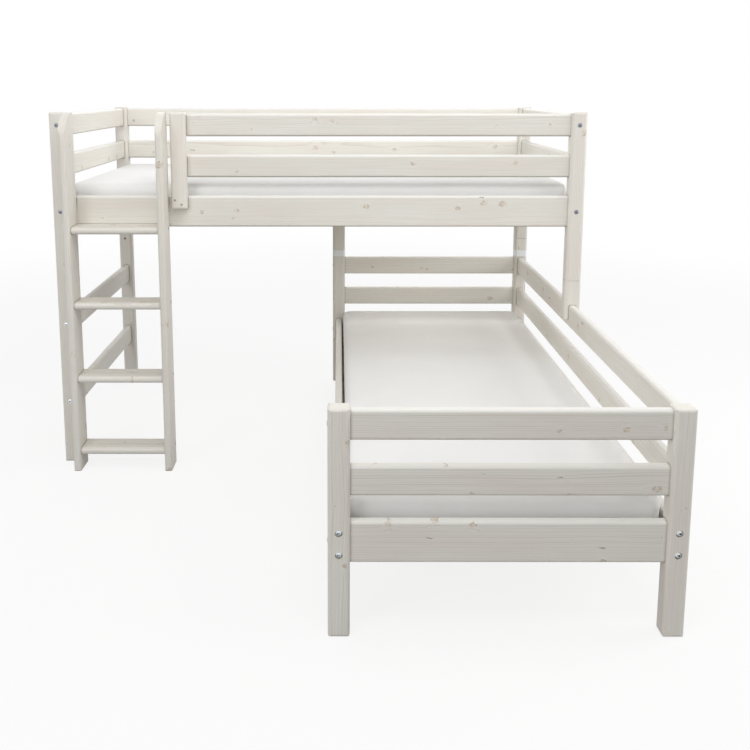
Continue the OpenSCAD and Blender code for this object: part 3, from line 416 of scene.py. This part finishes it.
low_slats, high_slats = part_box("low_base_slats"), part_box("high_base_slats")
slat_width = 0.07
slat_gaps = 13
low_pitch = (low_slats[1].y - low_slats[0].y - slat_width) / slat_gaps
high_pitch = (high_slats[1].x - high_slats[0].x - slat_width) / slat_gaps
finish(nodes["low_base_slats"],
       plain_pine("low_slats", X, Y, low_pitch, low_slats[0].y + slat_width / 2))
finish(nodes["high_base_slats"],
       plain_pine("high_slats", Y, X, high_pitch, high_slats[0].x + slat_width / 2))
# A cleat lies within one pitch of 300 mm, so it is all one piece of wood.
for cleat in ("low_left_cleat", "low_right_cleat"):
    finish(nodes[cleat], plain_pine(cleat, Y, X, 0.3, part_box(cleat)[0].x))
for cleat in ("high_front_cleat", "high_rear_cleat"):
    finish(nodes[cleat], plain_pine(cleat, X, Y, 0.3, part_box(cleat)[0].y))

# ---------------------------------------------------------------- hardware
# Bolts, screws, barrel nuts and pins of zinc-plated steel: a cool grey metal
# with a fine frosted grain from the bath. The dowels are plain beech.


def zinc_plated_steel(name, dark, light, recess_shade_tone, bright_below=0.0):
    """Zinc-plated steel between two tones, satin, and darker in recesses up to 5 mm wide: a painted shade.
    Fasteners lower down than bright_below get plain bright zinc instead; the two tones higher up are then a
    painted shade."""
    made, tree, surface = material(name)
    place = add(tree, "TexCoord")
    frost = add(tree, "TexNoise", None, {"Vector": place.outputs["Object"], "Scale": 700.0, "Detail": 3.0})
    bath = add(tree, "ValToRGB", None, {0: frost.outputs[0]}, [(0.3, linear(dark)), (0.7, linear(light))])
    # Painted shade: fasteners above bright_below keep the darker tones, standing for shade; those below get
    # plain bright zinc.
    if bright_below:
        height = add(tree, "SeparateXYZ", None, {0: place.outputs["Object"]})
        low_down = add(tree, "MapRange", None,
                       {"Value": height.outputs["Z"], "From Min": bright_below,
                        "From Max": bright_below + 0.01, "To Min": 1.0, "To Max": 0.0})
        bath = add(tree, "MixRGB", None, {0: low_down.outputs[0], 1: bath.outputs[0], 2: linear("#d9dde1")})
    # Painted shade: an occlusion mask mixes the zinc toward the dark recess tone in recesses up to 5 mm
    # wide.
    recess = add(tree, "AmbientOcclusion", {"samples": 8}, {"Distance": 0.005})
    recess_shade = add(tree, "MapRange", None, {"Value": recess.outputs["AO"], "From Min": 0.25, "From Max": 0.85})
    shaded_bath = add(tree, "MixRGB", None, {0: recess_shade.outputs[0], 1: linear(recess_shade_tone), 2: bath.outputs[0]})
    tree.links.new(shaded_bath.outputs[0], surface.inputs["Base Color"])
    surface.inputs["Metallic"].default_value = 1.0
    dull = add(tree, "MapRange", None, {"Value": frost.outputs[0], "From Min": 0.3, "From Max": 0.7,
                                        "To Min": 0.36, "To Max": 0.5})
    tree.links.new(dull.outputs[0], surface.inputs["Roughness"])
    return made


zinc = zinc_plated_steel("zinc_plated_steel", "#d2d7da", "#e0e4e6", "#a9b0b4")
for part in ("joining_pins", "base_screws"):
    finish(nodes[part], zinc)
# The screws of the ladder and the stile and the barrel nuts have a duller,
# warmer zinc, and lie a little way down in their holes.
dull_zinc = zinc_plated_steel("dull_zinc_plated_steel", "#bfbdb6", "#cbc9c1", "#8f8c84")
for part in ("barrel_nuts", "ladder_screws", "stile_screws"):
    finish(nodes[part], dull_zinc)
# The gable bolts that hold the high bed's slats and boards are painted a darker blue-grey, a
# painted shade; those of the braces and the low bed, below 0.8 m, keep the bright zinc.
finish(nodes["gable_bolts"],
       zinc_plated_steel("shaded_blue_grey_zinc", "#7f848c", "#92979e", "#4a4d52", 0.8))

# The rail bolts' heads lie flush with the posts, and low in their 21 mm holes:
# 3 mm further out and 1.5 mm lower than those of the CAD bolts, which these
# replace. All else about the bolts is the same.
head_out, head_down = 0.003, 0.0015
rim_share = 0.45
bolts = bpy.data.objects.new("rail_bolts_visual", nodes["rail_bolts"].data.copy())
scene.collection.objects.link(bolts)
mesh = bmesh.new()
mesh.from_mesh(bolts.data)
left = set(mesh.verts)
while left:
    # One bolt: all the points that hang together with the first one left.
    queue, bolt = [left.pop()], []
    while queue:
        point = queue.pop()
        bolt.append(point)
        for edge in point.link_edges:
            other = edge.other_vert(point)
            if other in left:
                left.remove(other)
                queue.append(other)
    lowest = [min(point.co[k] for point in bolt) for k in range(3)]
    highest = [max(point.co[k] for point in bolt) for k in range(3)]
    middle = [(highest[k] + lowest[k]) / 2 for k in range(3)]
    shank = max(range(3), key=lambda k: highest[k] - lowest[k])
    sideways = [k for k in range(3) if k != shank]
    wide = max(highest[k] - lowest[k] for k in sideways)
    # Only the head's rim is nearly as wide, and it lies at the outer end.
    rim = [point for point in bolt
           if max(abs(point.co[k] - middle[k]) for k in sideways) > rim_share * wide]
    out = 1 if sum(point.co[shank] for point in rim) / len(rim) > middle[shank] else -1
    under_head = min(out * point.co[shank] for point in rim)
    for point in bolt:
        if out * point.co[shank] > under_head + 0.0005:
            point.co[shank] += out * head_out
            point.co.z -= head_down
mesh.to_mesh(bolts.data)
mesh.free()
finish(bolts, zinc)
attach(bolts, "frame")
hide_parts("rail_bolts")


def plain_beech():
    """Untreated beech with fine flecks."""
    made, tree, surface = material("plain_beech")
    place = add(tree, "TexCoord")
    fleck = add(tree, "TexNoise", None, {"Vector": place.outputs["Object"], "Scale": 420.0, "Detail": 3.0})
    colour = add(tree, "ValToRGB", None, {0: fleck.outputs[0]},
                 [(0.3, linear("#d9bd93")), (0.7, linear("#c7a374"))])
    tree.links.new(colour.outputs[0], surface.inputs["Base Color"])
    surface.inputs["Roughness"].default_value = 0.6
    return made


finish(nodes["dowels"], plain_beech())

# ---------------------------------------------------------------- mattresses
# A foam core in a loose white cotton-knit cover, 900 by 2000 by 125 mm, its
# top crowned by 9 mm. The top and bottom panels are sewn to a border that a zip
# runs round, below the middle. Both beds hold one, turned by a quarter.
half_x, half_y, thick, crown, corner = 0.45, 1.0, 0.125, 0.009, 0.045


def cotton_knit():
    """White cotton knit, matt, with a little nap. Its stitches are 1 mm wide, but they are drawn
    4 mm wide, so that they show."""
    made, tree, surface = material("cotton_knit")
    place = add(tree, "TexCoord")
    waves = [add(tree, "TexWave", {"bands_direction": way},
                 {"Vector": place.outputs["Object"], "Scale": 78.0, "Distortion": 0.6, "Detail": 1.0})
             for way in ("X", "Y", "Z")]
    pair = add(tree, "Math", {"operation": "ADD"}, {0: waves[0].outputs["Fac"], 1: waves[1].outputs["Fac"]})
    stitches = add(tree, "Math", {"operation": "ADD"}, {0: pair.outputs[0], 1: waves[2].outputs["Fac"]})
    nap = add(tree, "TexNoise", None, {"Vector": place.outputs["Object"], "Scale": 240.0, "Detail": 4.0})
    cloud = add(tree, "TexNoise", None, {"Vector": place.outputs["Object"], "Scale": 7.0, "Detail": 3.0})
    tone = add(tree, "ValToRGB", None, {0: cloud.outputs[0]},
               [(0.3, linear("#f8f8f7")), (0.7, linear("#fbfbfb"))])
    tree.links.new(tone.outputs[0], surface.inputs["Base Color"])
    surface.inputs["Roughness"].default_value = 0.9
    surface.inputs["Specular IOR Level"].default_value = 0.2
    surface.inputs["Sheen Weight"].default_value = 0.15
    surface.inputs["Sheen Roughness"].default_value = 0.5
    cloth_height = add(tree, "Math", {"operation": "MULTIPLY_ADD"},
                       {0: nap.outputs[0], 1: 1.5, 2: stitches.outputs[0]})
    weave = add(tree, "Bump", None,
                {"Strength": 0.2, "Distance": 0.0005, "Height": cloth_height.outputs[0]})
    tree.links.new(weave.outputs[0], surface.inputs["Normal"])
    return made


def into_scene(name, mesh):
    """Turns a bmesh into an object in the scene."""
    data = bpy.data.meshes.new(name)
    mesh.to_mesh(data)
    mesh.free()
    made = bpy.data.objects.new(name, data)
    scene.collection.objects.link(made)
    return made


def panel_outline(inset, r, count):
    """Points round the mattress seen from above, inset from its border, with corners of radius r
    in count steps each."""
    reach_x, reach_y = half_x - inset - r, half_y - inset - r
    points = []
    for side_x, side_y, start in ((1, 1, 0), (-1, 1, 90), (-1, -1, 180), (1, -1, 270)):
        for i in range(count + 1):
            a = math.radians(start + 90 * i / count)
            points.append((side_x * reach_x + r * math.cos(a), side_y * reach_y + r * math.sin(a)))
    return points


def cover(name, swell):
    """The sewn cover, 2000 mm along Y, its underside at Z 0: rings from the bottom panel up over
    the border to a crowned top, with the border drawn in by 5 mm between its edges. It starts
    smaller all round by swell, because the cloth bulges afterwards."""
    # Each ring: how far in from the border, and how high.
    rings = [(0.300, 0), (0.120, 0), (0.022, 0), (0.011, 0.002), (0.003, 0.009), (0, 0.022),
             (0.003, 0.042), (0.005, 0.0625), (0.003, 0.083), (0, 0.100), (0.0025, 0.114),
             (0.009, 0.1225), (0.020, 0.125), (0.055, 0.1275), (0.13, 0.1315), (0.24, 0.1337),
             (0.35, 0.134)]
    least_round = 0.012
    mesh = bmesh.new()
    loops = []
    for inset, height in rings:
        inset = inset + swell
        height = swell + height * (thick + crown - 2 * swell) / (thick + crown)
        loops.append([mesh.verts.new((x, y, height))
                      for x, y in panel_outline(inset, max(corner - inset, least_round), 6)])
    for below, above in zip(loops, loops[1:]):
        for i in range(len(below)):
            j = (i + 1) % len(below)
            mesh.faces.new((below[i], below[j], above[j], above[i]))
    mesh.faces.new(list(reversed(loops[0])))
    mesh.faces.new(loops[-1])
    mesh.normal_update()
    return into_scene(name, mesh)


def modify(piece, kind, **settings):
    """Adds one modifier with its settings."""
    made = piece.modifiers.new(kind.lower(), kind)
    for key, value in settings.items():
        setattr(made, key, value)
    return made


def settle(piece):
    """Turns a piece with its modifiers into a plain mesh."""
    worked_out = piece.evaluated_get(bpy.context.evaluated_depsgraph_get())
    shaped = bpy.data.meshes.new_from_object(worked_out)
    piece.modifiers.clear()
    piece.data = shaped


# The cover is cut 1.5% too large for the core and held to it, more softly
# within half a metre of the corners: there it settles into shallow creases.
blank = cover("mattress_cover", swell=0.002)
modify(blank, "REMESH", mode="VOXEL", voxel_size=0.014)
settle(blank)
start = [point.co.copy() for point in blank.data.vertices]
hold = blank.vertex_groups.new(name="hold")
for point in blank.data.vertices:
    to_corner = math.hypot(max(0, half_x - abs(point.co.x)), max(0, half_y - abs(point.co.y)))
    hold.add([point.index], 0.35 + 0.55 * min(1, to_corner / 0.5), "REPLACE")
frames = 20
deepest_crease = 0.0035
cloth = modify(blank, "CLOTH")
cloth.settings.quality = 5
cloth.settings.mass = 0.25
cloth.settings.tension_stiffness = 20
cloth.settings.compression_stiffness = 20
cloth.settings.bending_stiffness = 0.08
cloth.settings.shrink_min = -0.015
cloth.settings.vertex_group_mass = "hold"
cloth.settings.pin_stiffness = 0.35
cloth.settings.use_pressure = True
cloth.settings.uniform_pressure_force = 1.5
cloth.settings.effector_weights.gravity = 0
cloth.point_cache.frame_end = frames
for frame_at in range(1, frames + 1):
    scene.frame_set(frame_at)
settle(blank)
scene.frame_set(1)
for point, was in zip(blank.data.vertices, start):
    moved = point.co - was
    if moved.length > deepest_crease:
        point.co = was + moved * (deepest_crease / moved.length)
# It lies flat on the slats.
for point in blank.data.vertices:
    point.co.z = max(point.co.z, 0.0)
modify(blank, "SMOOTH", factor=0.5, iterations=2)
modify(blank, "SUBSURF", levels=1, render_levels=1)
settle(blank)
for face in blank.data.polygons:
    face.use_smooth = True
finish(blank, cotton_knit())


def nylon_zip():
    """Woven and moulded nylon: smooth, a little greyer than the cotton."""
    made, tree, surface = material("nylon_zip")
    place = add(tree, "TexCoord")
    teeth = add(tree, "TexNoise", None, {"Vector": place.outputs["Object"], "Scale": 500.0, "Detail": 1.0})
    tone = add(tree, "ValToRGB", None, {0: teeth.outputs[0]},
               [(0.35, linear("#e4e4e3")), (0.65, linear("#eeeeed"))])
    tree.links.new(tone.outputs[0], surface.inputs["Base Color"])
    surface.inputs["Roughness"].default_value = 0.55
    return made


def zip_round(name, skin, height):
    """A zip sewn round the skin's border at a height: a flat tape 11 mm wide with a raised coil."""
    fabric = BVHTree.FromPolygons([point.co for point in skin.data.vertices],
                                  [face.vertices for face in skin.data.polygons])
    # Across the tape: how far up, and how far it stands off the fabric.
    profile = [(-0.0055, 0.0002), (-0.0053, 0.0008), (-0.0022, 0.0009), (-0.0014, 0.0019),
               (0.0014, 0.0019), (0.0022, 0.0009), (0.0053, 0.0008), (0.0055, 0.0002)]
    stitch, clear = 0.02, 0.05
    path = []
    corners = panel_outline(0, corner, 10)
    for (x0, y0), (x1, y1) in zip(corners, corners[1:] + corners[:1]):
        pieces = max(1, round(math.hypot(x1 - x0, y1 - y0) / stitch))
        path += [(x0 + (x1 - x0) * i / pieces, y0 + (y1 - y0) * i / pieces) for i in range(pieces)]
    mesh = bmesh.new()
    loops = []
    for i, (x, y) in enumerate(path):
        before, after = path[i - 1], path[(i + 1) % len(path)]
        out = Vector((after[1] - before[1], before[0] - after[0], 0)).normalized()
        loop = []
        for up, proud in profile:
            hit = fabric.ray_cast(Vector((x, y, height + up)) + out * clear, -out)[0]
            loop.append(mesh.verts.new(hit + out * proud))
        loops.append(loop)
    for i, loop in enumerate(loops):
        other = loops[(i + 1) % len(loops)]
        for k in range(len(profile) - 1):
            mesh.faces.new((loop[k], other[k], other[k + 1], loop[k + 1]))
    return into_scene(name, mesh)


zip_height = 0.046
nylon = nylon_zip()
for bed, turn in (("low_mattress", 0), ("high_mattress", 90)):
    low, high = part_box(bed)
    base = Matrix.Translation(((low.x + high.x) / 2, (low.y + high.y) / 2, low.z))
    seat = base @ Euler((0, 0, math.radians(turn))).to_matrix().to_4x4()
    skin = bpy.data.objects.new(bed + "_cover", blank.data.copy())
    scene.collection.objects.link(skin)
    tape = zip_round(bed + "_zip", skin, zip_height)
    finish(tape, nylon)
    skin.data.transform(seat)
    tape.data.transform(seat)
    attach(skin, bed)
    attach(tape, bed)
    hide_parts(bed)
bpy.data.objects.remove(blank)

# ---------------------------------------------------------------- studio
# A matt pale floor, white surroundings and soft lamps all round. The floor is
# seen as white, with the bed's shadow on it, and gives back less light than
# that, so that the undersides stay darker than the tops.


def seen_share(tree):
    """An output that is 1 where the camera, a gloss or a clear thing looks, and 0 for light."""
    ray = add(tree, "LightPath")
    direct = add(tree, "Math", {"operation": "MAXIMUM"},
                 {0: ray.outputs["Is Camera Ray"], 1: ray.outputs["Is Glossy Ray"]})
    either = add(tree, "Math", {"operation": "MAXIMUM"},
                 {0: direct.outputs[0], 1: ray.outputs["Is Transmission Ray"]})
    return either.outputs[0]


def floor_paint():
    """The floor's paint. Further than 6 m away it is as white as its surroundings."""
    made, tree, surface = material("studio_floor")
    surface.inputs["Roughness"].default_value = 0.9
    surface.inputs["Specular IOR Level"].default_value = 0.0
    seen = seen_share(tree)
    paint = add(tree, "MixRGB", None, {0: seen, 1: linear("#b0b0b0"), 2: linear("#f4f4f4")})
    tree.links.new(paint.outputs[0], surface.inputs["Base Color"])
    place = add(tree, "TexCoord")
    away = add(tree, "VectorMath", {"operation": "LENGTH"}, {0: place.outputs["Object"]})
    fade = add(tree, "MapRange", {"interpolation_type": "SMOOTHSTEP"},
               {"Value": away.outputs["Value"], "From Min": 1.8, "From Max": 6.0,
                "To Min": 0.84, "To Max": 1.0})
    share = add(tree, "Math", {"operation": "MULTIPLY"}, {0: seen, 1: fade.outputs[0]})
    glow = add(tree, "Emission", None, {"Color": (1, 1, 1, 1), "Strength": 1.0})
    both = add(tree, "MixShader", None,
               {0: share.outputs[0], 1: surface.outputs[0], 2: glow.outputs[0]})
    tree.links.new(both.outputs[0], tree.nodes["Material Output"].inputs["Surface"])
    return made


mesh = bmesh.new()
bmesh.ops.create_grid(mesh, x_segments=1, y_segments=1, size=30)
floor = into_scene("floor", mesh)
finish(floor, floor_paint())
floor.location.z = -0.0005

scene.world = bpy.data.worlds.new("studio")
scene.world.use_nodes = True
tree = scene.world.node_tree
room = tree.nodes["Background"]
level = add(tree, "MapRange", None, {"Value": seen_share(tree), "To Min": 0.35, "To Max": 1.0})
tree.links.new(level.outputs[0], room.inputs["Strength"])
room.inputs["Color"].default_value = (1, 1, 1, 1)

# Each lamp: its place, what it is aimed at, its width and height, and watts.
for name, place, aim, size, watts in (
        ("lamp_over_guard", (0.2, -0.7, 3.0), (0, 0.5, 1.0), (3.0, 0.8), 10.7),
        ("lamp_high_front", (0.4, -2.4, 4.0), (0.4, -0.7, 0.4), (2.6, 0.9), 34.7),
        ("lamp_front", (0, -5.0, 2.2), (0, 0, 0.7), (2.4, 1.8), 12.1),
        ("lamp_front_left", (-2.5, -3.5, 2.6), (0, 0, 0.7), (1.6, 1.6), 38.9),
        ("lamp_left", (-3.5, -0.5, 2.0), (0, 0, 0.7), (2.0, 2.0), 6.0),
        ("lamp_right", (3.5, -0.5, 2.0), (0, 0, 0.7), (2.0, 2.0), 47.8),
        ("lamp_behind", (0, 2.6, 3.0), (0, 0, 0.6), (3.0, 1.2), 37.4)):
    lamp = bpy.data.objects.new(name, bpy.data.lights.new(name, "AREA"))
    lamp.data.shape = "RECTANGLE"
    lamp.data.size, lamp.data.size_y = size
    lamp.data.energy = watts
    lamp.location = place
    lamp.rotation_euler = (Vector(aim) - Vector(place)).to_track_quat("-Z", "Y").to_euler()
    scene.collection.objects.link(lamp)

scene.view_settings.view_transform = "Standard"
